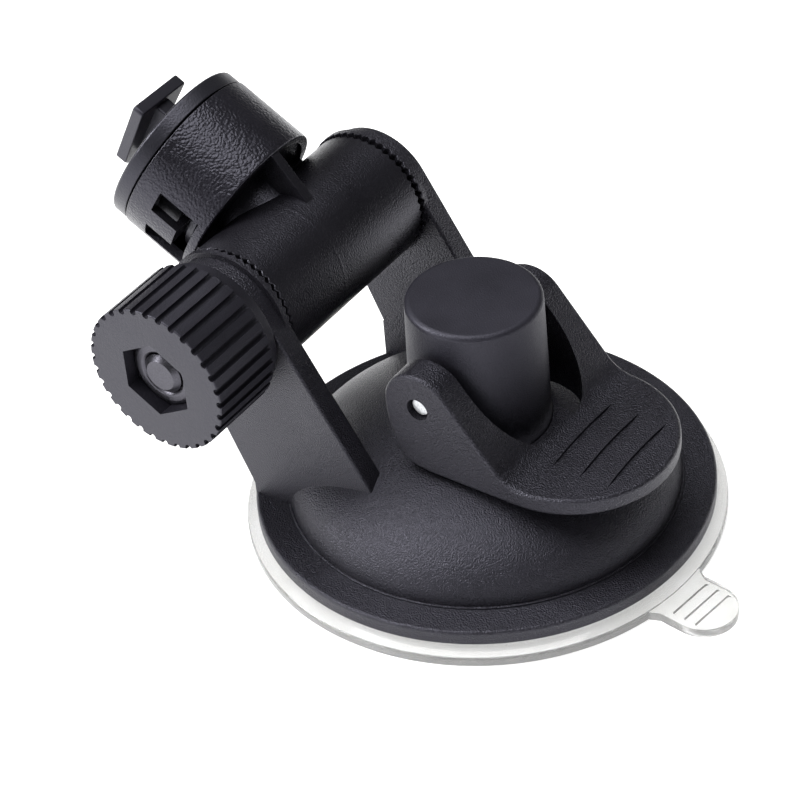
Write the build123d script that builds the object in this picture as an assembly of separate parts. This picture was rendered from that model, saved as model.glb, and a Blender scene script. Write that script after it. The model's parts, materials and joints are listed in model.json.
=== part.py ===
from build123d import *
import math
import os

# Windscreen suction mount for a small dash camera, in millimetres.
# Origin: centre of the suction face, on the glass. +Z leaves the glass.
# +X points to the lever's finger pad, and the tilt axis runs along Y.

# ---- base shell
ring_radius = 32.5
ring_bottom = 2.5
ring_top = 4.7
ring_edge_round = 0.5
ring_ledge = 4.8
dome_wall = 2.2
seat_height = 15.85
seat_rim = 10.759
guide_wall = 2.0
guide_bottom = 9.5

# ---- fork arms, moulded on the base shell
pivot_inset = 3.73
pivot_z = 33.33
arm_outer_y = 19.36
arm_thickness = 3.41
arm_end_radius = 9.06
arm_front_lean = 57.9
arm_rear_lean = 65.3
arm_edge_round = 0.5
boss_radius = 9.9
boss_height = 0.2

# ---- face teeth that lock the tilt
tooth_count = 48
tooth_depth = 0.45
tooth_inner_radius = 6.4
tooth_tip_gap = 0.2

# ---- suction cup, stem and lever
cup_overhang = 1.57
cup_rim_thickness = 1.39
cup_flat_inset = 8.5
cup_vacuum_height = 3.6
cup_hub_wall = 1.0
cup_hub_side = 1.6
cup_shoulder_inset = 2.0
cup_shoulder_step = 0.5
cup_mouth_gap = 0.8
tab_length = 9.23
tab_root = 5.07
tab_width = 9.6
tab_angle = -7.5
tab_groove_steps = [2.33, 4.23, 6.03]
tab_groove_length = 7.4
tab_groove_width = 0.5
tab_groove_depth = 0.35
core_radius = 13.0
core_thickness = 2.0
core_boss_radius = 7.1
core_edge_round = 0.4
core_boss_chamfer = 0.6
post_top = 36.1
post_foot_radius = 9.85
post_taper = 0.4
post_roof = 3.2
post_foot_gap = 0.4
post_straight = 0.5
post_edge_round = 0.9
pin_height = 26.6
pin_radius = 1.5
pin_recess = 0.8
pin_chamfer = 0.25
stem_travel = 2.4
lever_swing = 100.0
cam_swing = 26.0
ear_radius = 5.4
ear_thickness = 4.2
ear_gap = 0.55
lever_slope = 50.0
lever_slope_blend = 2.5
pad_thickness = 2.65
pad_tip_x = 29.7
mouth_gap = 3.85
mouth_corner_radius = 8.0
pad_groove_x = [16.6, 20.9, 25.2]
pad_groove_length = 15.7
pad_groove_width = 0.9
pad_groove_depth = 0.45

# ---- clamp bolt, nut, washer and knob
bolt_radius = 3.0
bolt_tip_out = 0.52
bolt_chamfer = 0.9
hex_flats = 10.0
bolt_head_height = 4.0
bolt_head_sink = 1.6
hex_turned_share = 0.62
hex_chamfer_share = (0.16, 0.09)
nut_height = 5.0
nut_recess = 1.6
nut_mouth_flare = 0.6
nut_mouth_depth = 0.61
washer_radius = 6.2
washer_thickness = 0.8
knob_radius = 11.0
knob_length = 13.66
knob_rib_count = 32
knob_rib_depth = 0.62
knob_groove_radius = 0.55
knob_collar_radius = 10.3
knob_collar_length = 1.7
knob_edge = 0.5

# ---- swivel head: cross barrel, round skirt and its two snap tongues
head_lean = 28.2
barrel_radius = 9.6
skirt_radius = 12.5
skirt_wall = 1.4
skirt_bottom = 10.0
skirt_top = 21.9
column_radius = 7.2
column_top = 20.6
rib_thickness = 1.5
rib_top = 11.2
skirt_floor = 0.7
gusset_foot = (2.3, 9.4)
latch_angle = -4.5
latch_low = 11.4
latch_high = 18.3
latch_half_angle = 23.5
tongue_half_angle = 7.8
tongue_tip = 13.7
barb_length = 1.1
barb_half_width = 1.4
tongue_rise = 0.01

# ---- camera hook: turntable disc, sleeve, neck and tee plate
disc_step = 0.15
disc_thickness = 2.44
disc_edge_round = 0.5
seam_gap = 0.25
sleeve_gap = 1.4
sleeve_bottom = 12.3
sleeve_groove = (13.3, 15.1)
sleeve_groove_depth = 0.9
neck_width = 2.8
neck_length = 10.0
neck_height = 3.4
plate_thickness = 1.8
plate_top_half = 4.9
plate_foot_half = 4.1
plate_top_v = 6.0
plate_foot_v = 6.6
plate_corner_round = 0.5
spring_inner = 4.0
spring_outer = 6.6
spring_steel = 0.3
spring_gap = 0.1

# ---- clearances
running_fit = 0.05
sliding_fit = 0.15
loose_fit = 0.3
cam_gap = 0.25
press_gap = 0.02
bolt_clearance = 0.2
stacking_gap = 0.1

# ---- cutting tools run this far past the piece they cut
overrun = 60.0

# ---- values that follow from the ones above
arm_inner_y = arm_outer_y - arm_thickness
boss_face_y = arm_inner_y - boss_height
barrel_half = boss_face_y - tooth_tip_gap
dome_radius = ring_radius - ring_ledge
dome_rise = (seat_height - ring_top) / math.sqrt(1 - (seat_rim / dome_radius)**2)
pivot_x = pivot_inset - ring_radius
cup_radius = ring_radius + cup_overhang
cup_flat_radius = ring_radius - cup_flat_inset
tab_reach = cup_radius + tab_length
tab_root_radius = cup_radius - tab_root
tab_groove_radii = [cup_radius + step for step in tab_groove_steps]
post_top_radius = post_foot_radius - post_taper
ear_inner_y = post_foot_radius + ear_gap
ear_outer_y = ear_inner_y + ear_thickness
mouth_end_x = post_foot_radius + mouth_gap
disc_radius = skirt_radius - disc_step
sleeve_outer = skirt_radius - skirt_wall - sleeve_gap
lever_underside = seat_height + cam_gap
pad_top = lever_underside + pad_thickness
post_foot = cup_vacuum_height + cup_hub_wall + core_thickness + post_foot_gap
guide_bore = post_foot_radius + sliding_fit
core_bottom = cup_vacuum_height + cup_hub_wall
core_top = core_bottom + core_thickness
disc_bottom = skirt_top + seam_gap
disc_top = disc_bottom + disc_thickness
plate_bottom = disc_top + neck_height
bolt_seat_y = arm_outer_y - bolt_head_sink
knob_foot_y = arm_outer_y + loose_fit
knob_face_y = knob_foot_y + knob_length
nut_face_y = knob_face_y - nut_recess
bolt_length = bolt_seat_y + nut_face_y + bolt_tip_out
pivot = (pivot_x, 0, pivot_z)


def around_y(shape, y_start):
    """Place a shape drawn upright on Z so that it points to -Y from y_start, on the tilt axis."""
    return Pos(pivot_x, y_start, pivot_z) * Rot(90, 0, 0) * shape


def in_head(shape):
    """Place a shape drawn on the head's own axis: its x is -Y, its z is the head's axis."""
    lean = math.radians(head_lean)
    place = Plane(
        origin=pivot,
        x_dir=(0, -1, 0),
        z_dir=(-math.cos(lean), 0, math.sin(lean)),
    )
    return place.location * shape


def upright(radius, low, high):
    """A cylinder on Z between two heights."""
    return Pos(0, 0, low) * Cylinder(radius, high - low, align=(Align.CENTER, Align.CENTER, Align.MIN))


def tube(outer, inner, low, high):
    """A ring on Z between two heights."""
    return upright(outer, low, high) - upright(inner, low - 1, high + 1)


def revolved(edges):
    """Turn a closed outline in the XZ plane round Z."""
    return revolve(Plane.XZ * make_face(edges), Axis.Z, 360)


def hexagon(flats, low, high):
    """A hexagonal bar on Z, with two corners on Y."""
    outline = RegularPolygon(flats / 2, 6, major_radius=False, rotation=30)
    return Pos(0, 0, low) * extrude(outline, high - low)


def dome_solid(radius, rise, floor):
    """A dome of elliptic section on a short straight foot."""
    arc = EllipticalCenterArc((0, ring_top), radius, rise, start_angle=0, arc_size=90)
    sides = Polyline((radius, ring_top), (radius, floor), (0, floor), (0, ring_top + rise))
    return revolved(arc + sides)


def tooth_tools(inner, outer, face, depth):
    """Radial V grooves in a face at height face, cut downwards."""
    half = math.pi * inner / tooth_count
    section = Polyline((-half, 0.01), (half, 0.01), (0, -depth), close=True)
    bar = extrude(Plane.YZ * make_face(section), outer - inner + 2)
    groove = Pos(inner, 0, face) * bar
    step = 360 / tooth_count
    return [Rot(0, 0, step * i) * groove for i in range(tooth_count)]


# ---------------------------------------------------------------- base shell

def arm_edge(lean, side):
    """Two points on one edge of the arm: where it leaves the round end, and where it ends below."""
    angle = math.radians(lean)
    top_x = pivot_x + side * arm_end_radius * math.sin(angle)
    top_z = pivot_z + side * arm_end_radius * math.cos(angle)
    foot = (top_x + overrun * math.cos(angle), top_z - overrun * math.sin(angle))
    return (top_x, top_z), foot


def arm_outline():
    """Side view of one fork arm: a round end on two edges that spread downwards."""
    front_top, front_foot = arm_edge(arm_front_lean, 1)
    rear_top, rear_foot = arm_edge(arm_rear_lean, -1)
    legs = make_face(Polyline(rear_top, rear_foot, front_foot, front_top, close=True))
    return legs + Pos(pivot_x, pivot_z) * Circle(arm_end_radius)


def arm_foot(side):
    """The arm's foot, filled out under the rear edge as far as the ring's rim."""
    (rear_x, rear_z), _ = arm_edge(arm_rear_lean, -1)
    rim_x = -math.sqrt(ring_radius**2 - arm_inner_y**2)
    foot_top = rear_z - (rim_x - rear_x) * math.tan(math.radians(arm_rear_lean))
    block = Box(ring_radius, arm_thickness, overrun, align=(Align.MAX, Align.CENTER, Align.CENTER))
    block = Pos(pivot_x / 2, side * (arm_outer_y + arm_inner_y) / 2, 0) * block
    return block & upright(ring_radius, ring_bottom, foot_top)


def fork_arm(side):
    """One arm with its tooth boss, on the side given by +1 or -1."""
    plate = extrude(Plane.XZ * arm_outline(), arm_thickness / 2, both=True)
    plate = Pos(0, side * (arm_outer_y + arm_inner_y) / 2, 0) * plate
    span = 3 * overrun
    below = Box(span, span, span, align=(Align.CENTER, Align.CENTER, Align.MAX))
    plate = plate - Pos(0, 0, ring_bottom) * below
    outside = plate.faces().sort_by(Axis.Y)[-1 if side > 0 else 0]
    plate = fillet(outside.edges().filter_by_position(Axis.Z, ring_bottom + 1, 100), arm_edge_round)
    plate = plate + arm_foot(side)
    boss = Rot(90, 0, 0) * upright(boss_radius, 0, boss_height + 1)
    if side > 0:
        boss = Pos(pivot_x, arm_inner_y + 1, pivot_z) * boss
    else:
        boss = Pos(pivot_x, -boss_face_y, pivot_z) * boss
    return plate, boss


def base_shell():
    """Ring, dome and fork in one moulding, open underneath, with the stem's guide in the middle."""
    ring = upright(ring_radius, ring_bottom, ring_top)
    ring = fillet(ring.edges().sort_by(Axis.Z)[-1], ring_edge_round)
    dome = dome_solid(dome_radius, dome_rise, ring_bottom)
    above = upright(dome_radius + 1, seat_height, seat_height + dome_rise)
    body = ring + (dome - above)
    for side in (1, -1):
        plate, boss = fork_arm(side)
        body = body + plate + boss
    cavity = dome_solid(dome_radius - dome_wall, dome_rise - dome_wall, ring_bottom - 1)
    guide = upright(guide_bore + guide_wall, guide_bottom, seat_height)
    body = body - (cavity - guide)
    body = body - upright(guide_bore, 0, overrun)
    tools = []
    for side in (1, -1):
        grooves = tooth_tools(tooth_inner_radius, boss_radius, -boss_face_y, tooth_depth)
        turn = Rot(90, 0, 0) if side > 0 else Rot(-90, 0, 0)
        tools += [Pos(pivot_x, 0, pivot_z) * turn * groove for groove in grooves]
    body = body - tools
    bolt_way = around_y(upright(bolt_radius + running_fit, 0, 2 * arm_outer_y + 2), arm_outer_y + 1)
    body = body - bolt_way
    pocket = around_y(hexagon(hex_flats + 2 * running_fit, 0, bolt_head_sink + 5), arm_outer_y + 5)
    return body - pocket


# ------------------------------------------------- suction cup, core and post

def cup_tab():
    """Finger tab at the cup's edge, with three small grip grooves across it."""
    round_radius = tab_width / 2
    straight = tab_reach - round_radius
    flat = Pos(straight / 2, 0) * Rectangle(straight, tab_width) + Pos(straight, 0) * Circle(round_radius)
    tab = extrude(flat, cup_rim_thickness) - upright(tab_root_radius, -1, 3)
    for radius in tab_groove_radii:
        height = cup_rim_thickness - tab_groove_depth
        tab = tab - Pos(radius, 0, height + 1) * Box(tab_groove_width, tab_groove_length, 2)
    return Rot(0, 0, tab_angle) * tab


def suction_cup():
    """Soft cup in its locked shape: flat sealing rim, centre drawn up round the core."""
    top_of_ring = ring_bottom - running_fit
    inner_edge = ring_radius - cup_shoulder_inset
    socket_top = core_top + cup_hub_wall
    hub_radius = core_radius + cup_hub_side
    outline = Polyline(
        (0, cup_vacuum_height),
        (core_radius, cup_vacuum_height),
        (cup_flat_radius, 0),
        (cup_radius, 0),
        (cup_radius, cup_rim_thickness),
        (inner_edge, top_of_ring),
        (cup_flat_radius + cup_shoulder_step, top_of_ring),
        (hub_radius, socket_top),
        (0, socket_top),
        close=True,
    )
    cup = revolved(outline)
    cup = cup + cup_tab()
    socket = upright(core_radius + running_fit, core_bottom - running_fit, core_top + running_fit)
    mouth = upright(post_foot_radius + cup_mouth_gap, core_bottom, socket_top + 1)
    return cup - socket - mouth


def pin_hole(radius):
    """A bore along Y through the lever pin's axis."""
    return Pos(0, 0, pin_height) * Rot(90, 0, 0) * Cylinder(radius, overrun)


def cup_core():
    """Hard flange held in the cup, with the boss that fills the post."""
    flange = upright(core_radius, core_bottom, core_top)
    flange = fillet(flange.edges().filter_by(GeomType.CIRCLE), core_edge_round)
    boss = upright(core_boss_radius, core_top - 0.5, post_top - post_roof - stacking_gap)
    boss = chamfer(boss.edges().sort_by(Axis.Z)[-1], core_boss_chamfer)
    return flange + boss - pin_hole(pin_radius + press_gap)


def stem_post():
    """Round post that the lever straddles: slightly tapered, hollow from below."""
    taper_start = seat_height + post_straight
    taper_height = post_top - taper_start
    upper = Cone(post_foot_radius, post_top_radius, taper_height)
    body = Pos(0, 0, taper_start + taper_height / 2) * upper
    body = body + upright(post_foot_radius, post_foot, taper_start)
    body = fillet(body.edges().sort_by(Axis.Z)[-1], post_edge_round)
    bore = upright(core_boss_radius + running_fit, 0, post_top - post_roof)
    return body - bore - pin_hole(pin_radius + press_gap)


# ---------------------------------------------------------------------- lever

def cam_point(turn):
    """Point of the ear's cam curve that meets the seat when the lever has turned that far."""
    drop_rate = stem_travel / math.radians(lever_swing)
    height = pin_height - lever_underside - drop_rate * turn
    x = -height * math.sin(turn) + drop_rate * math.cos(turn)
    z = -height * math.cos(turn) - drop_rate * math.sin(turn)
    return x, pin_height + z


def lever_side():
    """Side view of the lever: round ear on the pin, cam at its foot, slope and flat pad."""
    slope = math.radians(lever_slope)
    shoulder = (ear_radius * math.sin(slope), pin_height + ear_radius * math.cos(slope))
    slope_run = (shoulder[1] - pad_top) / math.tan(slope)
    elbow = (shoulder[0] + slope_run, pad_top)
    ear_back = (-ear_radius, pin_height)
    ear_top = (0, pin_height + ear_radius)
    cam_start = cam_point(0)
    cam_middle = cam_point(math.radians(cam_swing / 2))
    cam_end = cam_point(math.radians(cam_swing))
    past_tip = pad_tip_x + 1
    line_bottom = Polyline(cam_start, (past_tip, lever_underside), (past_tip, pad_top), elbow, shoulder)
    line_round = ThreePointArc(shoulder, ear_top, ear_back)
    line_back = TangentArc(ear_back, cam_end, tangent=(0, -1))
    line_cam = ThreePointArc(cam_end, cam_middle, cam_start)
    return make_face(line_bottom + line_round + line_back + line_cam)


def pad_plan():
    """Plan view of the lever: straight sides and a round finger end."""
    round_start = pad_tip_x - ear_outer_y
    sides = Rectangle(round_start + 20, 2 * ear_outer_y, align=(Align.MAX, Align.CENTER))
    return Pos(round_start, 0) * (Circle(ear_outer_y) + sides)


def mouth_plan():
    """Plan view of the lever's open mouth: straight sides and large round corners at its end."""
    opening = Rectangle(overrun, 2 * ear_inner_y, align=(Align.MAX, Align.CENTER))
    opening = fillet(opening.vertices().sort_by(Axis.X)[-2:], mouth_corner_radius)
    return Pos(mouth_end_x, 0) * opening


def lens_groove(x):
    """A slim groove across the pad, wider in the middle."""
    half = pad_groove_length / 2
    wide = pad_groove_width / 2
    bulge = ThreePointArc((x, -half), (x + wide, 0), (x, half))
    back = ThreePointArc((x, half), (x - wide, 0), (x, -half))
    return Pos(0, 0, pad_top - pad_groove_depth) * extrude(make_face(bulge + back), 3)


def lever():
    """Locking lever: two cam ears joined by the finger pad, with an open mouth for the post."""
    body = extrude(Plane.XZ * lever_side(), 2 * ear_outer_y, both=True)
    elbow = body.edges().filter_by(Axis.Y).filter_by_position(Axis.Z, pad_top - 0.05, pad_top + 0.05)
    body = fillet(elbow.sort_by(Axis.X)[0], lever_slope_blend)
    body = body & extrude(pad_plan(), overrun)
    body = body - extrude(mouth_plan(), overrun)
    body = body - pin_hole(pin_radius + sliding_fit)
    for x in pad_groove_x:
        body = body - lens_groove(x)
    return body


def lever_pin():
    """Plain steel pin through both ears, the post and the core."""
    half = ear_outer_y - pin_recess
    pin = Rot(90, 0, 0) * Cylinder(pin_radius, 2 * half)
    pin = chamfer(pin.edges().filter_by(GeomType.CIRCLE), pin_chamfer)
    return Pos(0, 0, pin_height) * pin


# ------------------------------------------------------------- clamp hardware

def hex_blank(flats, height):
    """Hexagon with its outer corners turned down to a round face."""
    turned = upright(flats * hex_turned_share, 0, height)
    inwards, down = (flats * share for share in hex_chamfer_share)
    turned = chamfer(turned.edges().sort_by(Axis.Z)[-1], inwards, down)
    return hexagon(flats, 0, height) & turned


def clamp_bolt():
    """Hexagon bolt along the tilt axis, its head let into the far arm."""
    shank = upright(bolt_radius, 0, bolt_length)
    shank = chamfer(shank.edges().sort_by(Axis.Z)[-1], bolt_chamfer)
    head = Rot(180, 0, 0) * hex_blank(hex_flats, bolt_head_height)
    return around_y(shank + head, bolt_seat_y)


def clamp_nut():
    """Hexagon nut sunk in the knob's face."""
    nut = hex_blank(hex_flats, nut_height)
    nut = nut - upright(bolt_radius + running_fit, -1, nut_height + 1)
    mouth = Cone(bolt_radius, bolt_radius + nut_mouth_flare, nut_mouth_depth)
    mouth = Pos(0, 0, nut_height - nut_mouth_depth / 2 + 0.01) * mouth
    return around_y(nut - mouth, -(nut_face_y - nut_height))


def knob_washer():
    """Flat washer between the knob and the arm."""
    ring = tube(washer_radius, bolt_radius + bolt_clearance, 0, washer_thickness)
    return around_y(ring, -knob_foot_y)


def clamp_knob():
    """Ribbed hand knob with a smooth collar, a hexagon pocket and a washer recess."""
    knob = upright(knob_radius, 0, knob_length)
    knob = chamfer(knob.edges().sort_by(Axis.Z)[-1], knob_edge)
    groove_centre = knob_radius + knob_groove_radius - knob_rib_depth
    groove = Pos(groove_centre, 0, 0) * upright(knob_groove_radius, 0, knob_length + 1)
    step = 360 / knob_rib_count
    knob = knob - [Rot(0, 0, step * i) * groove for i in range(knob_rib_count)]
    knob = knob - tube(knob_radius + 2, knob_collar_radius, -1, knob_collar_length)
    pocket = hexagon(hex_flats + 4 * press_gap, knob_length - nut_recess - nut_height, knob_length + 1)
    recess = upright(washer_radius + sliding_fit, -1, washer_thickness + stacking_gap)
    way = upright(bolt_radius + bolt_clearance, -1, knob_length + 1)
    return around_y(knob - pocket - recess - way, -knob_foot_y)


# ---------------------------------------------------------------- swivel head

def sector(outer, middle, half_angle, low, high):
    """A wedge about the head's axis, centred on one direction."""
    reach = 2 * outer
    spread = reach * math.tan(math.radians(half_angle))
    wedge = make_face(Polyline((0, 0), (reach, -spread), (reach, spread), close=True))
    solid = Pos(0, 0, low) * extrude(wedge, high - low)
    return Rot(0, 0, middle) * (solid & upright(outer, low, high))


def snap_tongue(middle):
    """One springy tongue in its window, with the barb that holds the hook's sleeve."""
    wall = tube(skirt_radius, skirt_radius - skirt_wall, tongue_tip, latch_high + tongue_rise)
    tongue = sector(skirt_radius + 1, middle, tongue_half_angle, tongue_tip, latch_high + tongue_rise) & wall
    inner = skirt_radius - skirt_wall
    reach = inner - (sleeve_outer - sleeve_groove_depth + loose_fit)
    barb = Box(reach + 0.6, 2 * barb_half_width, barb_length, align=(Align.MAX, Align.CENTER, Align.MIN))
    barb = Rot(0, 0, middle) * Pos(inner + 0.5, 0, tongue_tip) * barb
    return tongue + barb


def head_ribs():
    """Crossed webs that tie the skirt to the barrel; two of them run on as gussets."""
    reach = skirt_radius - 0.4
    across = Box(2 * reach, rib_thickness, rib_top, align=(Align.CENTER, Align.CENTER, Align.MIN))
    foot_h, foot_v = gusset_foot
    outer_foot = (reach, skirt_bottom - 0.4)
    side = Polyline((0, 0), (foot_v, foot_h), outer_foot, (reach, rib_top), (0, rib_top), close=True)
    gusset = extrude(Plane.YZ * make_face(side), rib_thickness / 2, both=True)
    return across + gusset + mirror(gusset, Plane.XZ)


def swivel_head():
    """Cross barrel with toothed ends, the round skirt above it and the spindle column."""
    barrel = Rot(0, 90, 0) * Cylinder(barrel_radius, 2 * barrel_half)
    skirt = tube(skirt_radius, skirt_radius - skirt_wall, skirt_bottom, skirt_top)
    for middle in (latch_angle, latch_angle + 180):
        window = sector(skirt_radius + 1, middle, latch_half_angle, latch_low, latch_high)
        window = window - upright(skirt_radius - skirt_wall - 0.3, latch_low - 1, latch_high + 1)
        skirt = skirt - window + snap_tongue(middle)
    column = upright(column_radius, 0, column_top)
    closing = upright(skirt_radius - skirt_wall / 2, rib_top - skirt_floor, rib_top)
    head = barrel + column + closing + head_ribs() + skirt
    tools = []
    for turn in (Rot(0, 90, 0), Rot(0, -90, 0)):
        grooves = tooth_tools(tooth_inner_radius, barrel_radius, barrel_half, tooth_depth)
        tools += [turn * groove for groove in grooves]
    head = head - tools
    head = head - Rot(0, 90, 0) * Cylinder(bolt_radius + sliding_fit, overrun)
    return in_head(head)


# ---------------------------------------------------------------- camera hook

def tee_plate():
    """Flat plate that slides into the camera, a little narrower at its foot."""
    corners = Polyline(
        (-plate_top_half, plate_top_v),
        (plate_top_half, plate_top_v),
        (plate_foot_half, -plate_foot_v + 1),
        (plate_foot_half - 1, -plate_foot_v),
        (-plate_foot_half + 1, -plate_foot_v),
        (-plate_foot_half, -plate_foot_v + 1),
        close=True,
    )
    plate = extrude(make_face(corners), plate_thickness)
    plate = fillet(plate.edges().filter_by(Axis.Z), plate_corner_round)
    return Pos(0, 0, plate_bottom) * plate


def camera_hook():
    """Turntable disc with the tee on top and the snap sleeve below."""
    disc = upright(disc_radius, disc_bottom, disc_top)
    disc = fillet(disc.edges().filter_by(GeomType.CIRCLE).sort_by(Axis.Z)[-1], disc_edge_round)
    sleeve = tube(sleeve_outer, column_radius + loose_fit, sleeve_bottom, disc_bottom + 0.1)
    groove = tube(sleeve_outer + 1, sleeve_outer - sleeve_groove_depth, *sleeve_groove)
    neck = Box(neck_width, neck_length, neck_height + 0.2, align=(Align.CENTER, Align.CENTER, Align.MIN))
    neck = Pos(0, 0, disc_top - 0.1) * neck
    return in_head(disc + (sleeve - groove) + neck + tee_plate())


def spring_washer():
    """Bowed spring washer between the column and the turntable, which keeps the hook stiff to turn."""
    low = column_top + spring_gap
    high = disc_bottom - spring_gap - spring_steel
    outer = ThreePointArc((-spring_outer, low), (0, high), (spring_outer, low))
    low_top = low + spring_steel
    inner = ThreePointArc((spring_outer, low_top), (0, high + spring_steel), (-spring_outer, low_top))
    ends = Line(outer @ 1, inner @ 0) + Line(inner @ 1, outer @ 0)
    sheet = extrude(Plane.XZ * make_face(outer + inner + ends), spring_outer, both=True)
    return in_head(sheet & tube(spring_outer, spring_inner, low - 1, high + 2))


pieces = {
    "base_shell": base_shell,
    "suction_cup": suction_cup,
    "cup_core": cup_core,
    "stem_post": stem_post,
    "lever": lever,
    "lever_pin": lever_pin,
    "clamp_bolt": clamp_bolt,
    "clamp_nut": clamp_nut,
    "knob_washer": knob_washer,
    "clamp_knob": clamp_knob,
    "swivel_head": swivel_head,
    "camera_hook": camera_hook,
    "spring_washer": spring_washer,
}

os.makedirs("parts", exist_ok=True)
for name, make in pieces.items():
    export_step(make(), f"parts/{name}.step")
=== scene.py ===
import json
import math

import bmesh
import bpy
from mathutils import Matrix, Vector

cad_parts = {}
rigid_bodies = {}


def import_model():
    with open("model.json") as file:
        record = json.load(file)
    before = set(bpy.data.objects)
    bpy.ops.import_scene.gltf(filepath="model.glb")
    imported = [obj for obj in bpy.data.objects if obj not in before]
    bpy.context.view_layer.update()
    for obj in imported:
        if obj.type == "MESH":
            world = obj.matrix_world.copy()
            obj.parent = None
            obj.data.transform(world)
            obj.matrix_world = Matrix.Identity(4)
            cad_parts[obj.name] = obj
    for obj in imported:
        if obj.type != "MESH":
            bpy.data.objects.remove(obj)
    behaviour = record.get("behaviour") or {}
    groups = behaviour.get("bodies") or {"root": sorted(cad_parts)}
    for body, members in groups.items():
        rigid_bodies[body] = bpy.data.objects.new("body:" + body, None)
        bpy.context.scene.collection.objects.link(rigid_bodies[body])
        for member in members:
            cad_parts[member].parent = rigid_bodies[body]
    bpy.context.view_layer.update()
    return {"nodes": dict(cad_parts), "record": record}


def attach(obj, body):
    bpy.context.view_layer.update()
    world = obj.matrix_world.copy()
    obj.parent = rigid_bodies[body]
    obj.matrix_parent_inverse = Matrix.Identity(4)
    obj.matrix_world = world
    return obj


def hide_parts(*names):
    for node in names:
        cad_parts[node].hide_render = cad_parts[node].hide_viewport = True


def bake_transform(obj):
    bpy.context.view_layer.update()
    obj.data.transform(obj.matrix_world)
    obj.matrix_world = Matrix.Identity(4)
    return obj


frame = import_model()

mm = 0.001
joints = {j["name"]: j for j in frame["record"]["behaviour"]["joints"]}
pivot = Vector(joints["head_tilt"]["pos_m"])
headAxis = Vector(joints["hook_spin"]["axis"]).normalized()
pinPlace = Vector(joints["lever_flip"]["pos_m"])
print("frame loaded:", len(frame["nodes"]), "nodes")


# ---- working helpers

def pick(*objects):
    if bpy.context.object and bpy.context.object.mode != "OBJECT":
        bpy.ops.object.mode_set(mode="OBJECT")
    bpy.ops.object.select_all(action="DESELECT")
    for item in objects:
        item.select_set(True)
    bpy.context.view_layer.objects.active = objects[-1]


def openMesh(piece):
    pick(piece)
    bpy.ops.object.mode_set(mode="EDIT")
    bpy.ops.mesh.select_all(action="SELECT")


def closeMesh():
    bpy.ops.object.mode_set(mode="OBJECT")


def softCorners(points, steps=6):
    # a corner given as (x, y, radius) becomes an arc, a plain (x, y) stays sharp
    line = []
    for i, point in enumerate(points):
        here = Vector(point[:2])
        if len(point) < 3:
            line.append(here)
            continue
        toBefore = (Vector(points[i - 1][:2]) - here).normalized()
        toAfter = (Vector(points[(i + 1) % len(points)][:2]) - here).normalized()
        half = toBefore.angle(toAfter) / 2
        centre = here + (toBefore + toAfter).normalized() * point[2] / math.sin(half)
        reach = point[2] / math.tan(half)
        first = here + toBefore * reach - centre
        last = here + toAfter * reach - centre
        sweep = first.angle(last)
        for k in range(steps + 1):
            a = math.sin((1 - k / steps) * sweep) / math.sin(sweep)
            b = math.sin(k / steps * sweep) / math.sin(sweep)
            line.append(centre + first * a + last * b)
    return line


def arcPoints(centre, radius, start, end, steps=12):
    # points on a circle, angles in degrees
    angles = [math.radians(start + (end - start) * k / steps) for k in range(steps + 1)]
    return [(centre[0] + radius * math.cos(a), centre[1] + radius * math.sin(a)) for a in angles]


def chain(name, points):
    # one vertex, drawn on through the points by extruding it
    bpy.ops.object.select_all(action="DESELECT")
    bpy.ops.mesh.primitive_plane_add(size=mm, location=points[0])
    piece = bpy.context.object
    piece.name = name
    piece.data.name = name
    bpy.ops.object.transform_apply(location=True, rotation=False, scale=False)
    openMesh(piece)
    bpy.ops.mesh.merge(type="CENTER")
    for before, after in zip(points, points[1:]):
        bpy.ops.mesh.extrude_region_move(TRANSFORM_OT_translate={"value": Vector(after) - Vector(before)})
    bpy.ops.mesh.select_all(action="SELECT")
    return piece


def tidyMesh(gap=0.002 * mm):
    bpy.ops.mesh.select_all(action="SELECT")
    bpy.ops.mesh.remove_doubles(threshold=gap)
    bpy.ops.mesh.normals_make_consistent(inside=False)
    closeMesh()


def lathe(name, profile, turns=128, closed=True):
    # profile in millimetres as (radius, height), spun round Z
    line = [(p[0] * mm, 0, p[1] * mm) for p in profile]
    if closed and profile[0][0] > 0:
        line.append(line[0])
    piece = chain(name, line)
    bpy.ops.mesh.spin(steps=turns, angle=2 * math.pi, center=(0, 0, 0), axis=(0, 0, 1))
    tidyMesh()
    return piece


def prism(name, outline, low, high):
    # outline in millimetres in the XY plane, raised from low to high
    piece = chain(name, [(p[0] * mm, p[1] * mm, low * mm) for p in outline])
    bpy.ops.mesh.edge_face_add()
    bpy.ops.mesh.extrude_region_move(TRANSFORM_OT_translate={"value": (0, 0, (high - low) * mm)})
    tidyMesh()
    return piece


def seat(piece, place, xWay, zWay):
    # turns and moves a piece drawn upright at the origin into its real place
    xWay, zWay = Vector(xWay), Vector(zWay)
    turn = Matrix((xWay, zWay.cross(xWay), zWay)).transposed().to_4x4()
    turn.translation = Vector(place)
    pick(piece)
    piece.matrix_world = turn
    bpy.ops.object.transform_apply(location=True, rotation=True, scale=True)
    return piece


def turned(piece, degrees, shift=(0, 0, 0)):
    # a copy with its own mesh, turned round Z
    twin = piece.copy()
    twin.data = piece.data.copy()
    bpy.context.collection.objects.link(twin)
    pick(twin)
    twin.matrix_world = Matrix.Rotation(math.radians(degrees), 4, "Z") @ Matrix.Translation(shift)
    bpy.ops.object.transform_apply(location=True, rotation=True, scale=True)
    return twin


def ringOf(piece, count):
    # the piece repeated round Z, joined into one
    copies = [turned(piece, 360 * k / count) for k in range(1, count)]
    pick(*copies, piece)
    bpy.ops.object.join()
    return piece


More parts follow.
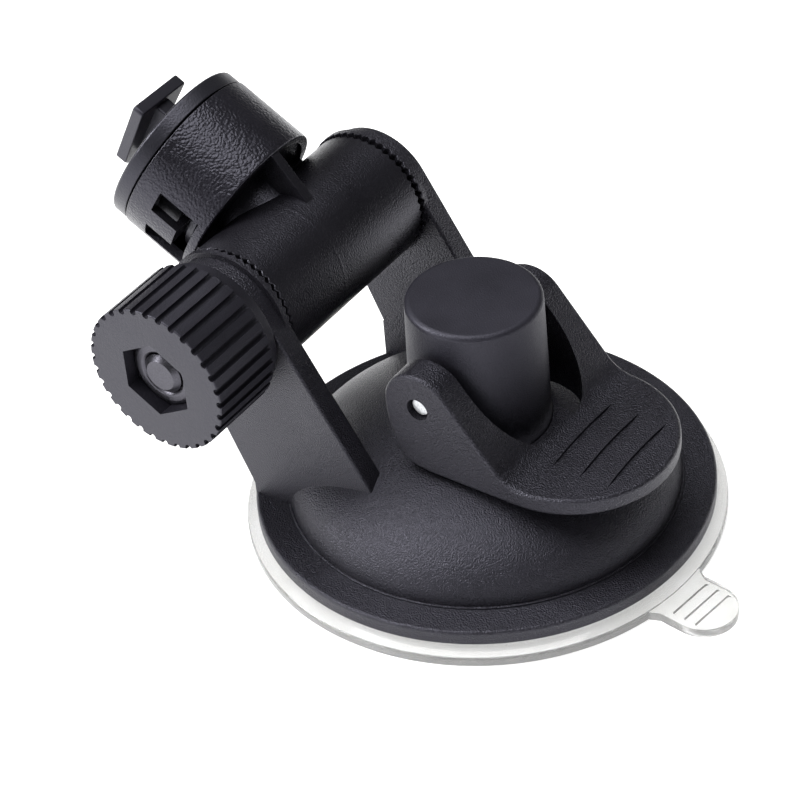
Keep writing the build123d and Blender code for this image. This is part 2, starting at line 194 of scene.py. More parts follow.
def carve(piece, tool, operation="DIFFERENCE"):
    cutter = piece.modifiers.new("carve", "BOOLEAN")
    cutter.operation = operation
    cutter.solver = "EXACT"
    cutter.object = tool
    pick(piece)
    bpy.ops.object.modifier_apply(modifier="carve")
    bpy.data.objects.remove(tool, do_unlink=True)
    return piece


def weld(piece, *others):
    for other in others:
        carve(piece, other, "UNION")
    return piece


def soften(piece, width, steps=3, angle=35):
    openMesh(piece)
    bpy.ops.mesh.remove_doubles(threshold=0.004 * mm)
    bpy.ops.mesh.dissolve_limited(angle_limit=math.radians(0.4))
    closeMesh()
    bevel = piece.modifiers.new("soften", "BEVEL")
    bevel.width = width * mm
    bevel.segments = steps
    bevel.limit_method = "ANGLE"
    bevel.angle_limit = math.radians(angle)
    bevel.use_clamp_overlap = True
    pick(piece)
    bpy.ops.object.modifier_apply(modifier="soften")
    return piece


def finishPiece(piece, body, slot, material, *nodes):
    pick(piece)
    bpy.ops.object.shade_smooth_by_angle(angle=math.radians(32))
    # large faces keep their own shading where small ones round an edge
    even = piece.modifiers.new("even", "WEIGHTED_NORMAL")
    even.keep_sharp = True
    even.weight = 80
    bpy.ops.object.modifier_apply(modifier="even")
    piece.data.materials.clear()
    piece.data.materials.append(material)
    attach(piece, body)
    if nodes:
        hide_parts(*nodes)
    print("piece:", piece.name, len(piece.data.polygons), "faces")


def dress(node, material):
    target = frame["nodes"][node]
    for place in target.material_slots:
        place.material = material
    if not target.material_slots:
        target.data.materials.append(material)


# ---- materials

def hexColor(code):
    parts = [int(code[i:i + 2], 16) / 255 for i in (1, 3, 5)]
    return [p / 12.92 if p <= 0.04045 else ((p + 0.055) / 1.055) ** 2.4 for p in parts] + [1]


def addNode(material, kind, settings=None, **links):
    # settings go to the node itself or to its sockets; links join other nodes' outputs
    node = material.node_tree.nodes.new(kind)
    for key, value in (settings or {}).items():
        if isinstance(key, str) and hasattr(node, key):
            setattr(node, key, value)
        else:
            node.inputs[key].default_value = value
    for key, source in links.items():
        target = node.inputs[int(key[1:])] if key[1:].isdigit() else node.inputs[key.replace("_", " ")]
        material.node_tree.links.new(source, target)
    return node


def newMaterial(name, **values):
    material = bpy.data.materials.new(name)
    material.use_nodes = True
    shader = material.node_tree.nodes["Principled BSDF"]
    for key, value in values.items():
        shader.inputs[key.replace("_", " ")].default_value = value
    return material, shader


def ramp(material, source, low, high, lowColor, highColor):
    node = addNode(material, "ShaderNodeValToRGB", Fac=source)
    node.color_ramp.elements[0].position = low
    node.color_ramp.elements[1].position = high
    node.color_ramp.elements[0].color = lowColor
    node.color_ramp.elements[1].color = highColor
    return node.outputs["Color"]


def grey(value):
    return (value, value, value, 1)


# Moulded black ABS: the mould is spark eroded, which leaves a fine even grain and a dull sheen
# with a faint violet cast.
def mouldedPlastic(name, dark, light, grain, depth, rough, pebble=0.0):
    material, shader = newMaterial(name, IOR=1.54, Specular_IOR_Level=0.5, Specular_Tint=(0.84, 0.83, 1.0, 1))
    link = material.node_tree.links.new
    spot = addNode(material, "ShaderNodeTexCoord").outputs["Object"]
    fine = addNode(material, "ShaderNodeTexNoise", {"Scale": 1 / (grain * mm), "Detail": 1.5, "Roughness": 0.5},
                   Vector=spot)
    cloudy = addNode(material, "ShaderNodeTexNoise", {"Scale": 1 / (14 * mm), "Detail": 3.0, "Roughness": 0.55},
                     Vector=spot)
    link(ramp(material, cloudy.outputs["Fac"], 0.32, 0.7, hexColor(dark), hexColor(light)), shader.inputs["Base Color"])
    dull = addNode(material, "ShaderNodeMapRange", {"From Min": 0.3, "From Max": 0.7, "To Min": rough - 0.05,
                                                    "To Max": rough + 0.07}, Value=cloudy.outputs["Fac"])
    speck = addNode(material, "ShaderNodeMapRange", {"From Min": 0.35, "From Max": 0.65, "To Min": -0.05,
                                                     "To Max": 0.05}, Value=fine.outputs["Fac"])
    total = addNode(material, "ShaderNodeMath", {"operation": "ADD"}, i0=dull.outputs[0], i1=speck.outputs[0])
    link(total.outputs[0], shader.inputs["Roughness"])
    height = fine.outputs["Fac"]
    if pebble:
        # coarser pebbles: cells of a real leather-grain mould, pulled about by a slow noise
        warp = addNode(material, "ShaderNodeTexNoise", {"Scale": 1 / (1.1 * mm), "Detail": 1.0}, Vector=spot)
        pull = addNode(material, "ShaderNodeVectorMath", {"operation": "MULTIPLY_ADD", 1: (0.0007,) * 3},
                       i0=warp.outputs["Color"], i2=spot)
        cells = addNode(material, "ShaderNodeTexVoronoi", {"feature": "SMOOTH_F1", "Scale": 1 / (pebble * mm),
                                                           "Smoothness": 0.35}, Vector=pull.outputs[0])
        domes = addNode(material, "ShaderNodeMath", {"operation": "MULTIPLY", 1: -1.6}, i0=cells.outputs["Distance"])
        both = addNode(material, "ShaderNodeMath", {"operation": "MULTIPLY_ADD", 1: 0.25}, i0=height,
                       i2=domes.outputs[0])
        height = both.outputs[0]
    bump = addNode(material, "ShaderNodeBump", {"Strength": 1.0, "Distance": depth * mm}, Height=height)
    link(bump.outputs["Normal"], shader.inputs["Normal"])
    return material


# Soft clear PVC: glossy and see-through, with a milky body and a faint warm cast at its edges.
def clearPvc(name):
    material, shader = newMaterial(name, IOR=1.5, Roughness=0.07, Transmission_Weight=0.84,
                                   Subsurface_Weight=0.1, Subsurface_Scale=0.003,
                                   Subsurface_Radius=(1.0, 0.95, 0.85))
    link = material.node_tree.links.new
    spot = addNode(material, "ShaderNodeTexCoord").outputs["Object"]
    haze = addNode(material, "ShaderNodeTexNoise", {"Scale": 1 / (9 * mm), "Detail": 4.0}, Vector=spot)
    link(ramp(material, haze.outputs["Fac"], 0.3, 0.75, hexColor("#F1F1EF"), hexColor("#FCFCFC")),
         shader.inputs["Base Color"])
    ripple = addNode(material, "ShaderNodeTexNoise", {"Scale": 1 / (2.5 * mm), "Detail": 2.0}, Vector=spot)
    bump = addNode(material, "ShaderNodeBump", {"Strength": 0.5, "Distance": 0.03 * mm}, Height=ripple.outputs["Fac"])
    link(bump.outputs["Normal"], shader.inputs["Normal"])
    return material


# Steel: cold-headed and plated or blackened, with drawn lines along its axis and small pits.
def plainSteel(name, dark, light, rough, stretch):
    material, shader = newMaterial(name, Metallic=1.0)
    link = material.node_tree.links.new
    spot = addNode(material, "ShaderNodeTexCoord").outputs["Object"]
    drawn = addNode(material, "ShaderNodeMapping", {"Scale": stretch}, Vector=spot)
    lines = addNode(material, "ShaderNodeTexNoise", {"Scale": 1 / (0.35 * mm), "Detail": 4.0},
                    Vector=drawn.outputs["Vector"])
    link(ramp(material, lines.outputs["Fac"], 0.35, 0.68, hexColor(dark), hexColor(light)), shader.inputs["Base Color"])
    worn = addNode(material, "ShaderNodeMapRange", {"From Min": 0.3, "From Max": 0.7, "To Min": rough,
                                                    "To Max": rough + 0.18}, Value=lines.outputs["Fac"])
    link(worn.outputs[0], shader.inputs["Roughness"])
    bump = addNode(material, "ShaderNodeBump", {"Strength": 0.6, "Distance": 0.02 * mm}, Height=lines.outputs["Fac"])
    link(bump.outputs["Normal"], shader.inputs["Normal"])
    return material


sparkAbs = mouldedPlastic("absBlackSparkEroded", "#121115", "#1C1B20", 0.22, 0.17, 0.34)
postAbs = mouldedPlastic("absBlackFineMatt", "#15141A", "#1E1D24", 0.22, 0.05, 0.5)
pebbleAbs = mouldedPlastic("absBlackPebbleGrain", "#121115", "#1B1A20", 0.16, 0.045, 0.3, pebble=0.42)
barrelAbs = mouldedPlastic("absBlackSatinBarrel", "#0D0C10", "#151418", 0.24, 0.08, 0.34)
discAbs = mouldedPlastic("absBlackFineGrain", "#151519", "#1D1D22", 0.16, 0.014, 0.37, pebble=0.3)
teeAbs = mouldedPlastic("absBlackSmoothMatt", "#1A191E", "#232228", 0.2, 0.012, 0.42)
knobAbs = mouldedPlastic("absBlackMattKnob", "#151419", "#1F1E24", 0.2, 0.045, 0.42)
softPvc = clearPvc("pvcClearMilky")
zincSteel = plainSteel("steelBrightZinc", "#B9BCC0", "#E3E5E6", 0.26, (1, 0.12, 1))
blackSteel = plainSteel("steelBlackOxide", "#47464C", "#5C5B62", 0.27, (3, 0.6, 3))
springSteel = plainSteel("steelSpringStrip", "#8C8C8A", "#B5B4B0", 0.3, (1, 1, 1))
print("materials made")


# ---- suction cup: one soft moulding, held at its rim and drawn up in the middle

cupSizes = {"rim": 34.07, "rimThickness": 1.39, "flatFrom": 24.0, "hollow": 3.6, "core": 13.05, "coreLow": 4.55,
            "coreHigh": 6.65, "top": 7.6, "mouth": 10.65, "underRing": 2.44, "ringEdge": 30.5,
            "tabWidth": 9.6, "tabReach": 43.3, "tabAngle": -7.5, "grooves": [36.4, 38.3, 40.1],
            "grooveLength": 7.4, "grooveWidth": 0.55, "grooveDepth": 0.35}


def makeCup(s):
    profile = softCorners([
        (0, s["hollow"]), (s["core"], s["hollow"], 5), (s["flatFrom"], 0, 9), (s["rim"], 0, 0.3),
        (s["rim"], s["rimThickness"], 0.45), (s["ringEdge"], s["underRing"], 3), (s["flatFrom"] + 1, s["underRing"], 3),
        (s["core"] + 1.6, s["top"], 1.2), (s["mouth"], s["top"], 0.3), (s["mouth"], s["coreHigh"]),
        (s["core"], s["coreHigh"]), (s["core"], s["coreLow"]), (0, s["coreLow"])])
    cup = lathe("suctionCup", profile, turns=160)
    half = s["tabWidth"] / 2
    tip = arcPoints((s["tabReach"] - half, 0), half, -90, 90, 16)
    root = s["rim"] - 2.2
    tab = prism("tab", [(root, half + 1.6), (root, -half - 1.6), (s["rim"] + 0.9, -half)] + tip
                + [(s["rim"] + 0.9, half)], 0.001, s["rimThickness"] - 0.02)
    for radius in s["grooves"]:
        groove = prism("groove", softCorners([
            (radius - s["grooveWidth"] / 2, -s["grooveLength"] / 2, 0.2), (radius + s["grooveWidth"] / 2, -s["grooveLength"] / 2, 0.2),
            (radius + s["grooveWidth"] / 2, s["grooveLength"] / 2, 0.2), (radius - s["grooveWidth"] / 2, s["grooveLength"] / 2, 0.2)], 3),
            s["rimThickness"] - s["grooveDepth"], s["rimThickness"] + 1)
        carve(tab, groove)
    soften(tab, 0.16, 3, 50)
    tab = turned(tab, s["tabAngle"])
    for leftover in [o for o in bpy.data.objects if o.name == "tab"]:
        bpy.data.objects.remove(leftover, do_unlink=True)
    weld(cup, tab)
    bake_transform(cup)
    return cup


suctionCup = makeCup(cupSizes)
pick(suctionCup)
bpy.ops.object.shade_smooth_by_angle(angle=math.radians(32))
suctionCup.data.materials.clear()
suctionCup.data.materials.append(softPvc)
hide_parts("suction_cup")
print("suction cup made")


# ---- locking lever: two cam ears, a slope and the finger pad

leverSizes = {"earRadius": 5.4, "earOuter": 14.6, "earInner": 10.4, "slope": 50, "padTop": 18.75, "underside": 16.1,
              "tip": 29.7, "heel": 20.6, "cam": [(-3.09, 17.12, 1.3), (-0.95, 16.36), (1.37, 16.1)], "mouthEnd": 13.7, "mouthCorner": 8.0, "hole": 1.65, "blend": 5.5, "edge": 0.75,
              "grooves": [16.6, 20.9, 25.2], "grooveLength": 15.7, "grooveWidth": 0.8, "grooveDepth": 0.4}


def makeLever(s):
    pinZ = pinPlace.z / mm
    angle = 90 - s["slope"]
    ear = arcPoints((0, pinZ), s["earRadius"], angle, 180, 20)
    run = (ear[0][1] - s["padTop"]) / math.tan(math.radians(s["slope"]))
    elbow = (ear[0][0] + run, s["padTop"], s["blend"])
    heel = arcPoints((s["heel"] - s["earRadius"], pinZ), s["heel"], 180, 205, 8)[1:] + s["cam"]
    outline = softCorners([(s["tip"] + 1, s["underside"]), (s["tip"] + 1, s["padTop"]), elbow] + ear + heel, 10)
    lever = prism("lockingLever", outline, -s["earOuter"], s["earOuter"])
    seat(lever, (0, 0, 0), (1, 0, 0), (0, -1, 0))
    centre = s["tip"] - s["earOuter"]
    plan = [(-30, s["earOuter"] + 2), (-30, -s["earOuter"] - 2), (centre - 6, -s["earOuter"] - 2), (centre - 6, -s["earOuter"])]
    plan += arcPoints((centre, 0), s["earOuter"], -90, 90, 48) + [(centre - 6, s["earOuter"]), (centre - 6, s["earOuter"] + 2)]
    carve(lever, prism("plan", plan, 0, 60), "INTERSECT")
    soften(lever, s["edge"], 4, 38)
    mouth = softCorners([(-30, -s["earInner"]), (s["mouthEnd"], -s["earInner"], s["mouthCorner"]),
                         (s["mouthEnd"], s["earInner"], s["mouthCorner"]), (-30, s["earInner"])], 18)
    carve(lever, prism("mouth", mouth, 0, 60))
    carve(lever, pinBore(s["hole"]))
    for x in s["grooves"]:
        half = s["grooveLength"] / 2
        bow = s["grooveWidth"] / 2
        rise = half * half / (2 * bow)
        sweep = math.degrees(math.asin(half / (rise + bow / 2)))
        front = arcPoints((x - rise + bow / 2, 0), rise + bow / 2, -sweep, sweep, 14)
        rear = arcPoints((x + rise - bow / 2, 0), rise + bow / 2, 180 - sweep, 180 + sweep, 14)
        carve(lever, prism("lens", front[:-1] + rear[:-1], s["padTop"] - s["grooveDepth"], 40))
    soften(lever, 0.14, 2, 40)
    return lever


def pinBore(radius):
    bore = lathe("bore", [(0, -30), (radius, -30), (radius, 30), (0, 30)], turns=40, closed=False)
    return seat(bore, (0, 0, pinPlace.z), (1, 0, 0), (0, -1, 0))


finishPiece(makeLever(leverSizes), "lever", "abs_black_spark", sparkAbs, "lever")


# ---- post that the lever straddles: slightly tapered, hollow from below

postSizes = {"foot": 9.85, "top": 9.45, "low": 7.0, "straight": 16.35, "high": 36.1, "round": 0.85, "bore": 7.15,
             "roof": 3.2, "pin": 1.52}


def makePost(s):
    roof = s["high"] - s["roof"]
    post = lathe("stemPost", softCorners([
        (0, roof), (s["bore"], roof), (s["bore"], s["low"]), (s["foot"], s["low"], 0.2), (s["foot"], s["straight"]),
        (s["top"], s["high"], s["round"]), (0, s["high"])], 8), turns=160)
    return carve(post, pinBore(s["pin"]))


finishPiece(makePost(postSizes), "stem", "abs_black_spark", postAbs, "stem_post")


# ---- clamp knob: ribs all round, a smooth collar and the nut's hexagon pocket

knobSizes = {"radius": 11.0, "foot": 19.66, "face": 33.32, "ribs": 32, "ribDepth": 0.72, "ribGroove": 0.5, "rimRound": 0.22,
             "collarRadius": 10.3, "collarLength": 1.8, "flats": 10.08, "nutRecess": 1.6, "nutHeight": 5.0, "washer": 6.35, "washerDepth": 0.9,
             "way": 3.2}


def hexagon(flats, low, high, name="hexagon"):
    corner = flats / 2 / math.cos(math.radians(30))
    return prism(name, [(corner * math.sin(math.radians(60 * k)), corner * math.cos(math.radians(60 * k)))
                        for k in range(6)], low, high)


def makeKnob(s):
    length = s["face"] - s["foot"]
    profile = softCorners([(0, 0), (s["collarRadius"] - 0.3, 0, 0.3), (s["collarRadius"], s["collarLength"]),
                           (s["radius"], s["collarLength"] + 0.25, 0.2), (s["radius"], length, s["rimRound"]), (0, length)], 3)
    knob = lathe("clampKnob", profile, turns=192)
    wide, foot = s["ribGroove"], s["collarLength"]
    groove = lathe("groove", [(0, foot), (wide, foot), (wide, length + 1), (0, length + 1)], turns=18, closed=False)
    first = turned(groove, 0, ((s["radius"] + wide - s["ribDepth"]) * mm, 0, 0))
    bpy.data.objects.remove(groove, do_unlink=True)
    carve(knob, ringOf(first, s["ribs"]))
    carve(knob, hexagon(s["flats"], length - s["nutRecess"] - s["nutHeight"], length + 1))
    carve(knob, lathe("recess", [(0, -1), (s["washer"], -1), (s["washer"], s["washerDepth"]), (0, s["washerDepth"])], 64))
    carve(knob, lathe("way", [(0, -1), (s["way"], -1), (s["way"], length + 1), (0, length + 1)], 48))
    soften(knob, 0.24, 3, 40)
    return seat(knob, (pivot.x, -s["foot"] * mm, pivot.z), (1, 0, 0), (0, -1, 0))


finishPiece(makeKnob(knobSizes), "knob", "abs_black_knob", knobAbs, "clamp_knob")


# ---- nut in the knob's pocket and the long bolt through the fork

steelSizes = {"flats": 10.0, "nutHeight": 5.0, "nutFace": 31.72, "faceRound": 4.25, "faceFall": 0.85, "bore": 3.05,
              "mouth": 3.5, "shank": 3.0, "length": 50.0, "bite": 0.35, "tip": 2.35, "headSeat": 17.76, "head": 4.0}


def hexBlank(s, name, height):
    # a hexagon whose corners are turned down round one face
    wide = s["flats"]
    turnedRound = lathe("turned", [(0, -1), (wide, -1), (wide, height - 3 * s["faceFall"]),
                                   (s["faceRound"] + 1.7, height - s["faceFall"]), (s["faceRound"], height),
                                   (0, height)], 96, closed=False)
    return carve(hexagon(wide, 0, height, name), turnedRound, "INTERSECT")


def makeNut(s):
    nut = hexBlank(s, "clampNut", s["nutHeight"])
    bore, high = s["bore"], s["nutHeight"]
    carve(nut, lathe("bore", [(0, -1), (bore, -1), (bore, high - 0.4), (s["mouth"], high + 0.01), (s["mouth"], high + 1),
                              (0, high + 1)], 96, closed=False))
    soften(nut, 0.12, 3, 40)
    return seat(nut, (pivot.x, (high - s["nutFace"]) * mm, pivot.z), (1, 0, 0), (0, -1, 0))


def makeBolt(s):
    shank, end, bite = s["shank"], s["length"], s["bite"]
    line = [(0, -0.5), (shank, -0.5)]
    for turn in range(14, 0, -1):
        line += [(shank, end - 0.55 - turn), (shank - bite, end - 0.3 - turn), (shank, end - 0.05 - turn)]
    line += [(shank, end - 0.65), (s["tip"], end - 0.1), (s["tip"] - 0.12, end), (0, end)]
    bolt = lathe("clampBolt", line, 96, closed=False)
    head = hexBlank(s, "boltHead", s["head"])
    soften(head, 0.15, 3, 40)
    weld(bolt, seat(head, (0, 0, 0), (1, 0, 0), (0, 0, -1)))
    return seat(bolt, (pivot.x, s["headSeat"] * mm, pivot.z), (1, 0, 0), (0, -1, 0))


finishPiece(makeNut(steelSizes), "knob", "steel_black", blackSteel, "clamp_nut")
finishPiece(makeBolt(steelSizes), "base", "steel_black", blackSteel, "clamp_bolt")
print("knob made")


# ---- face teeth, shared by the head's barrel and the fork

def cutTeeth(piece, face, inner, depth, count=48, band=0.2):
    # the rim of one end goes in and out by turns, deeper towards the outside
    way = 1 if face > 0 else -1
    for vertex in piece.data.vertices:
        spot = vertex.co / mm
        if abs(spot.z - face) < band and math.hypot(spot.x, spot.y) > inner + 0.05:
            phase = math.atan2(spot.y, spot.x) / (2 * math.pi) * count % 1
            vertex.co.z -= way * depth * mm * (1 - abs(2 * phase - 1))


def wedge(inner, outer, first, last, low, high):
    # part of a thick tube between two angles
    near = arcPoints((0, 0), inner, first, last, 14)
    far = arcPoints((0, 0), outer, last, first, 14)
    return prism("wedge", near + far, low, high)


# ---- swivel head: cross barrel, round skirt with two snap tongues, webs and spindle column

headSizes = {"barrel": 9.6, "half": 15.55, "bore": 3.15, "toothFrom": 6.3, "toothDepth": 0.45, "parting": 3.1,
             "skirt": 12.5, "wall": 1.4, "low": 10.0, "high": 21.9, "column": 7.2, "columnTop": 20.6,
             "floor": (10.5, 11.2), "rib": 1.5, "gusset": (9.4, 2.3), "middle": -4.5, "window": 23.5,
             "windowLow": 11.4, "windowHigh": 18.3, "tongue": 7.8, "tip": 13.7, "barb": (1.1, 2.8, 1.9)}


def makeHead(s):
    half, low, high, round_ = s["half"], s["low"], s["high"], 0.12
    barrel, part = s["barrel"], s["parting"]
    profile = [(s["bore"], -half), (s["toothFrom"], -half), (barrel - round_, -half), (barrel, -half + round_),
               (barrel, 0.5 - half), (barrel, part - 0.5), (barrel, part - 0.14), (barrel + 0.02, part),
               (barrel, part + 0.14), (barrel, part + 0.5), (barrel, half - 0.5), (barrel, half - round_),
               (barrel - round_, half), (s["toothFrom"], half), (s["bore"], half)]
    head = lathe("swivelHead", profile, turns=192)
    for end in (half, -half):
        cutTeeth(head, end, s["toothFrom"], s["toothDepth"])
    seat(head, (0, 0, 0), (0, 0, -1), (1, 0, 0))
    inner = s["skirt"] - s["wall"]
    skirt = lathe("skirt", softCorners([(inner, low, 0.15), (s["skirt"], low, 0.25), (s["skirt"], high, 0.15),
                                        (inner, high, 0.15)], 3), turns=192)
    for middle in (s["middle"], s["middle"] + 180):
        carve(skirt, wedge(inner - 1, s["skirt"] + 1, middle - s["window"], middle + s["window"], s["windowLow"], s["tip"]))
        for side in (-1, 1):
            first, last = sorted((middle + side * s["tongue"], middle + side * (s["window"] - 0.02)))
            carve(skirt, wedge(inner - 1.1, s["skirt"] + 1.1, first, last, s["windowLow"] + 0.5, s["windowHigh"]))
    soften(skirt, 0.1, 2, 50)
    floorLow, floorHigh = s["floor"]
    column, joinAt = s["column"], inner + s["wall"] / 2
    core = lathe("core", [(0, 0), (column, 0), (column, floorLow), (joinAt, floorLow), (joinAt, floorHigh),
                          (column, floorHigh), (column, s["columnTop"]), (0, s["columnTop"])], 96)
    reach, side, foot = s["skirt"] - 0.4, s["rib"] / 2, s["gusset"]
    across = prism("across", [(-reach, -side), (reach, -side), (reach, side), (-reach, side)], 0.4, floorHigh - 0.02)
    weld(head, core, across)
    outline = [(0, 0), foot, (reach, low - 0.4), (reach, floorHigh - 0.03), (0, floorHigh - 0.03)]
    for way in (1, -1):
        web = soften(prism("web", outline, -side, side), 0.12, 2, 40)
        seat(web, (0, 0, 0), (0, way, 0), (way, 0, 0))
        weld(head, web)
    thick, broad, deep = s["barb"]
    for middle in (s["middle"], s["middle"] + 180):
        barb = prism("barb", [(inner - deep, -broad / 2), (inner + 0.5, -broad / 2), (inner + 0.5, broad / 2),
                              (inner - deep, broad / 2)], s["tip"] + 0.05, s["tip"] + thick)
        weld(skirt, seat(barb, (0, 0, 0), (math.cos(math.radians(middle)), math.sin(math.radians(middle)), 0), (0, 0, 1)))
    weld(head, skirt)
    way = lathe("way", [(0, -30), (s["bore"], -30), (s["bore"], 30), (0, 30)], 48, closed=False)
    carve(head, seat(way, (0, 0, 0), (0, 0, -1), (1, 0, 0)))
    return seat(head, pivot, (0, -1, 0), headAxis)


swivelHead = makeHead(headSizes)
finishPiece(swivelHead, "head", "abs_black_pebble", barrelAbs, "swivel_head")
swivelHead.data.materials.append(pebbleAbs)
for face in swivelHead.data.polygons:
    fromPivot = (face.center - pivot) / mm
    height = fromPivot.dot(headAxis)
    if height > headSizes["low"] - 0.1 and (fromPivot - headAxis * height).length > headSizes["skirt"] - 0.4:
        face.material_index = 1
print("swivel head made")


# ---- camera hook: turntable disc, snap sleeve, neck and tee plate

hookSizes = {"disc": 12.35, "low": 22.15, "high": 24.59, "round": 0.5, "sleeve": 9.7, "sleeveInner": 7.5,
             "sleeveLow": 12.3, "groove": (13.3, 15.1), "grooveDepth": 0.9, "neck": (2.8, 10.0, 3.4), "plate": 1.8,
             "topHalf": 4.9, "footHalf": 4.1, "top": 6.0, "foot": 6.6, "corner": 0.5, "edge": 0.2}


def makeHook(s):
    low, high, out = s["low"], s["high"], s["sleeve"]
    first, last = s["groove"]
    floor = out - s["grooveDepth"]
    hook = lathe("cameraHook", softCorners([
        (0, low), (s["sleeveInner"], low), (s["sleeveInner"], s["sleeveLow"]), (out, s["sleeveLow"], 0.2), (out, first),
        (floor, first), (floor, last), (out, last), (out, low), (s["disc"], low, 0.15), (s["disc"], high, s["round"]),
        (0, high)], 5), turns=192)
    wide, long, tall = s["neck"]
    neck = prism("neck", softCorners([(-wide / 2, -long / 2, 0.3), (wide / 2, -long / 2, 0.3), (wide / 2, long / 2, 0.3),
                                      (-wide / 2, long / 2, 0.3)], 3), high - 0.4, high + tall + 0.3)
    plate = prism("plate", softCorners([
        (-s["topHalf"], s["top"], s["corner"]), (-s["footHalf"], 1 - s["foot"], s["corner"]),
        (1 - s["footHalf"], -s["foot"], s["corner"]), (s["footHalf"] - 1, -s["foot"], s["corner"]),
        (s["footHalf"], 1 - s["foot"], s["corner"]), (s["topHalf"], s["top"], s["corner"])], 4),
        high + tall, high + tall + s["plate"])
    soften(plate, s["edge"], 3, 40)
    weld(hook, neck, plate)
    return seat(hook, pivot, (0, -1, 0), headAxis)


cameraHook = makeHook(hookSizes)
finishPiece(cameraHook, "hook", "abs_black_pebble", teeAbs, "camera_hook")
cameraHook.data.materials.append(discAbs)
for face in cameraHook.data.polygons:
    if (face.center - pivot).dot(headAxis) / mm < hookSizes["high"] + 0.02:
        face.material_index = 1
print("camera hook made")


# ---- base shell: ring, dome and toothed fork in one moulding, hollow underneath

baseSizes = {"ring": 32.5, "ringLow": 2.5, "ringTop": 4.7, "edge": 0.5, "dome": 27.7, "rise": 12.1, "bead": (0.31, 0.28), "wall": 2.2,
             "seatTop": 15.85, "bore": 10.0, "guide": 12.0, "guideLow": 9.5, "armOuter": 19.36, "arm": 3.41,
             "armEnd": 9.06, "frontLean": 57.9, "rearLean": 65.3, "armEdge": 0.4, "boss": 9.9, "bossRise": 0.2,
             "toothFrom": 6.3, "toothDepth": 0.45, "boltWay": 3.05, "flats": 10.1, "pocket": 1.6}


def domeArc(radius, rise, foot, first, steps=40):
    # a quarter ellipse from the angle first, down to its foot
    angles = [math.radians(first * (1 - k / steps)) for k in range(steps + 1)]
    return [(radius * math.cos(a), foot + rise * math.sin(a)) for a in angles]


def armOutline(s):
    x, z, end, low = pivot.x / mm, pivot.z / mm, s["armEnd"], s["ringLow"] + 0.4
    arc = arcPoints((x, z), end, 90 - s["frontLean"], 270 - s["rearLean"], 40)
    feet = []
    for lean, start in ((s["rearLean"], arc[-1]), (s["frontLean"], arc[0])):
        feet.append((start[0] + (start[1] - low) / math.tan(math.radians(lean)), low))
    return arc + feet


def makeArm(s, side):
    middle, half = s["armOuter"] - s["arm"] / 2, s["arm"] / 2
    arm = soften(prism("arm", armOutline(s), -half, half), s["armEdge"], 3, 40)
    # the corner between the rear edge and the ring's rim is filled out
    lean, rim = math.radians(s["rearLean"]), s["ring"] - 0.06
    rimX = -math.sqrt(s["ring"] ** 2 - (middle - half) ** 2)
    drop = (rimX - pivot.x / mm + s["armEnd"] * math.sin(lean)) * math.tan(lean)
    high = pivot.z / mm - s["armEnd"] * math.cos(lean) - drop
    low, front = s["ringLow"] + 0.4, pivot.x / mm / 2
    foot = prism("foot", [(-s["ring"], low), (front, low), (front, high), (-s["ring"], high)], -half, half)
    room = lathe("room", [(0, 0), (rim, 0), (rim, 40), (0, 40)], 192, closed=False)
    seat(room, (0, 0, side * middle * mm), (1, 0, 0), (0, 1, 0))
    weld(arm, carve(foot, room, "INTERSECT"))
    return seat(arm, (0, side * middle * mm, 0), (1, 0, 0), (0, -1, 0))


def makeBase(s):
    first = math.degrees(math.asin((s["seatTop"] - s["ringTop"]) / s["rise"]))
    beadOut, beadHigh = s["bead"]
    shell = lathe("baseShell", [(0, s["seatTop"])] + domeArc(s["dome"], s["rise"], s["ringTop"], first) + softCorners([
        (s["dome"], s["ringTop"]), (s["dome"] + 0.01, s["ringTop"] + beadHigh), (s["dome"] + beadOut, s["ringTop"] + beadHigh, 0.12),
        (s["dome"] + beadOut + 0.04, s["ringTop"]),
        (s["ring"], s["ringTop"], s["edge"]), (s["ring"], s["ringLow"], 0.25),
        (0, s["ringLow"])], 5)[1:], turns=192)
    for side in (1, -1):
        weld(shell, makeArm(s, side))
    room = s["dome"] - s["wall"]
    hollow = [(0, 1), (room, 1)] + domeArc(room, s["rise"] - s["wall"], s["ringTop"], 90)[::-1]
    cavity = lathe("cavity", hollow, turns=192, closed=False)
    guide = lathe("guide", [(0, s["guideLow"]), (s["guide"], s["guideLow"]), (s["guide"], 30), (0, 30)], 96, closed=False)
    carve(shell, carve(cavity, guide))
    carve(shell, lathe("bore", [(0, -1), (s["bore"], -1), (s["bore"], 40), (0, 40)], 128, closed=False))
    inner = s["armOuter"] - s["arm"]
    for side in (1, -1):
        sunk = lathe("sunk", [(0, -0.3), (s["boss"] - 0.2, -0.3), (s["boss"] - 0.2, 0.6), (0, 0.6)], 96, closed=False)
        place = (pivot.x, side * inner * mm, pivot.z)
        carve(shell, seat(sunk, place, (1, 0, 0), (0, -side, 0)))
        boss = lathe("boss", [(0, -1), (s["boss"], -1), (s["boss"], s["bossRise"] - 0.08),
                              (s["boss"] - 0.08, s["bossRise"]), (s["toothFrom"], s["bossRise"]),
                              (0, s["bossRise"])], turns=192)
        cutTeeth(boss, s["bossRise"], s["toothFrom"], s["toothDepth"], band=0.1)
        weld(shell, seat(boss, place, (1, 0, 0), (0, -side, 0)))
    way = lathe("way", [(0, -30), (s["boltWay"], -30), (s["boltWay"], 30), (0, 30)], 48, closed=False)
    carve(shell, seat(way, (pivot.x, 0, pivot.z), (1, 0, 0), (0, -1, 0)))
    pocket = hexagon(s["flats"], -5, s["pocket"])
    carve(shell, seat(pocket, (pivot.x, s["armOuter"] * mm, pivot.z), (1, 0, 0), (0, -1, 0)))
    return shell


finishPiece(makeBase(baseSizes), "base", "abs_black_spark", sparkAbs, "base_shell")
print("base shell made")


# ---- dressing of the CAD parts that keep their own shape

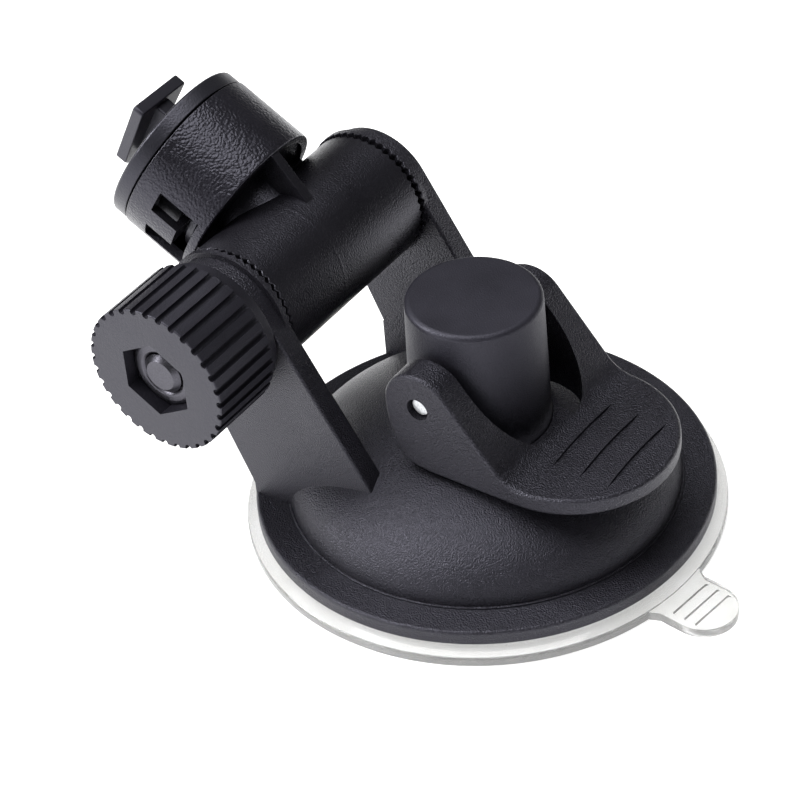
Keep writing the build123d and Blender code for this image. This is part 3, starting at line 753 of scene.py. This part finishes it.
dress("cup_core", sparkAbs)
dress("lever_pin", zincSteel)
dress("knob_washer", blackSteel)
dress("spring_washer", springSteel)


# ---- floor, light and camera

studio = {"azimuth": 37.82, "elevation": 38.74, "roll": -5.12, "distance": 0.3936, "lens": 128.6,
          "aimHeight": 0.020, "aimRight": -0.01099, "aimUp": -0.0015,
          "floor": "#F2F2F2", "glow": 0.66, "sky": 0.11, "top": 18, "key": 5.2, "fill": 0.5}


def makeFloor(s):
    bpy.ops.object.select_all(action="DESELECT")
    bpy.ops.mesh.primitive_plane_add(size=4)
    floor = bpy.context.object
    floor.name = "floor"
    material, shader = newMaterial("whiteLightTable", Roughness=0.9, Emission_Color=(1, 1, 1, 1), Emission_Strength=s["glow"])
    shader.inputs["Base Color"].default_value = hexColor(s["floor"])
    floor.data.materials.append(material)


def areaLight(name, place, aim, size, watts):
    light = bpy.data.lights.new(name, "AREA")
    light.shape = "RECTANGLE"
    light.size, light.size_y = size
    light.energy = watts
    lamp = bpy.data.objects.new(name, light)
    lamp.location = place
    lamp.rotation_euler = (Vector(place) - Vector(aim)).to_track_quat("Z", "Y").to_euler()
    bpy.context.collection.objects.link(lamp)


def makeCamera(s):
    a, e, roll = (math.radians(s[k]) for k in ("azimuth", "elevation", "roll"))
    back = Vector((math.sin(a) * math.cos(e), -math.cos(a) * math.cos(e), math.sin(e)))
    side = Vector((math.cos(a), math.sin(a), 0))
    up = back.cross(side)
    right = side * math.cos(roll) + up * math.sin(roll)
    top = up * math.cos(roll) - side * math.sin(roll)
    camera = bpy.data.objects.new("camera", bpy.data.cameras.new("camera"))
    camera.data.lens = s["lens"]
    camera.data.sensor_width = 36
    camera.data.clip_start = 0.01
    turn = Matrix((right, top, back)).transposed().to_4x4()
    turn.translation = Vector((0, 0, s["aimHeight"])) + right * s["aimRight"] + top * s["aimUp"] + back * s["distance"]
    camera.matrix_world = turn
    bpy.context.collection.objects.link(camera)
    bpy.context.scene.camera = camera


def makeWorld(s):
    world = bpy.data.worlds.new("studio")
    world.use_nodes = True
    world.node_tree.nodes["Background"].inputs["Color"].default_value = (1, 1, 1, 1)
    world.node_tree.nodes["Background"].inputs["Strength"].default_value = s["sky"]
    bpy.context.scene.world = world


makeFloor(studio)
makeWorld(studio)
areaLight("top", (-0.25, -0.12, 1.3), (0, 0, 0), (1.2, 1.2), studio["top"])
areaLight("key", (-0.52, -0.38, 0.46), (-0.01, 0, 0.03), (0.25, 0.4), studio["key"])
areaLight("fill", (-0.22, -0.72, 0.15), (-0.03, 0, 0.04), (0.5, 0.24), studio["fill"])
makeCamera(studio)
bpy.context.scene.view_settings.view_transform = "Standard"
print("studio made")
